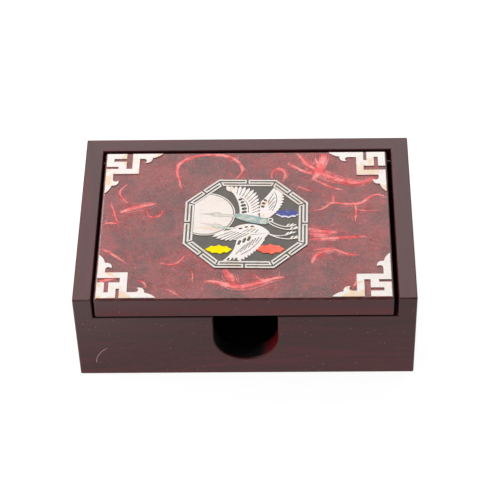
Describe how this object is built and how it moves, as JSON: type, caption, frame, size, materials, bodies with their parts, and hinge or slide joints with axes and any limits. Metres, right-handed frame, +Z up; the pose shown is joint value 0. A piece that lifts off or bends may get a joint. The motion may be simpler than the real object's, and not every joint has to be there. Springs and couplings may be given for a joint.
{
  "type": "business card holder",
  "caption": "Lacquered wooden desk box for business cards, with a finger notch in front and a hinged inset lid inlaid with shell.",
  "frame": {"origin": "middle of the footprint, on the surface the box stands on", "axes": "+X to the right along the long side, +Y from the notched front to the back, +Z up"},
  "size_m": [0.11, 0.075, 0.0364],
  "materials": {
    "lacquered_wood": "satin lacquer",
    "fibre_paper": "lacquered",
    "ground_paper": "lacquered",
    "white_shell": "polished",
    "teal_shell": "polished",
    "yellow_shell": "polished",
    "red_shell": "polished",
    "blue_shell": "polished",
    "lining_felt": "matte",
    "pin_steel": "blued"
  },
  "bodies": {
    "case": {"front_wall": "lacquered_wood", "back_wall": "lacquered_wood", "left_wall": "lacquered_wood", "right_wall": "lacquered_wood", "bottom_board": "lacquered_wood", "floor_lining": "lining_felt", "hinge_pin_left": "pin_steel", "hinge_pin_right": "pin_steel"},
    "lid": {"lid_board": "lacquered_wood", "lid_paper": "fibre_paper", "medallion_ground": "ground_paper", "corner_front_right": "white_shell", "corner_back_right": "white_shell", "corner_back_left": "white_shell", "corner_front_left": "white_shell", "medallion_fret": "white_shell", "moon": "white_shell", "moon_ring": "white_shell", "upper_crane_neck": "teal_shell", "upper_crane_body": "teal_shell", "upper_crane_wing_left": "white_shell", "upper_crane_wing_right": "white_shell", "upper_crane_legs": "white_shell", "lower_crane_neck": "white_shell", "lower_crane_wing_left": "white_shell", "lower_crane_wing_right": "white_shell", "lower_crane_legs": "white_shell", "cloud_yellow": "yellow_shell", "cloud_red": "red_shell", "cloud_blue": "blue_shell", "cloud_blue_edge": "white_shell"}
  },
  "joints": [
    {"name": "lid_hinge", "type": "hinge", "parent": "case", "child": "lid", "pos_m": [0, 0.0274, 0.0335], "axis": [-1, 0, 0], "range_deg": [0, 110]}
  ]
}
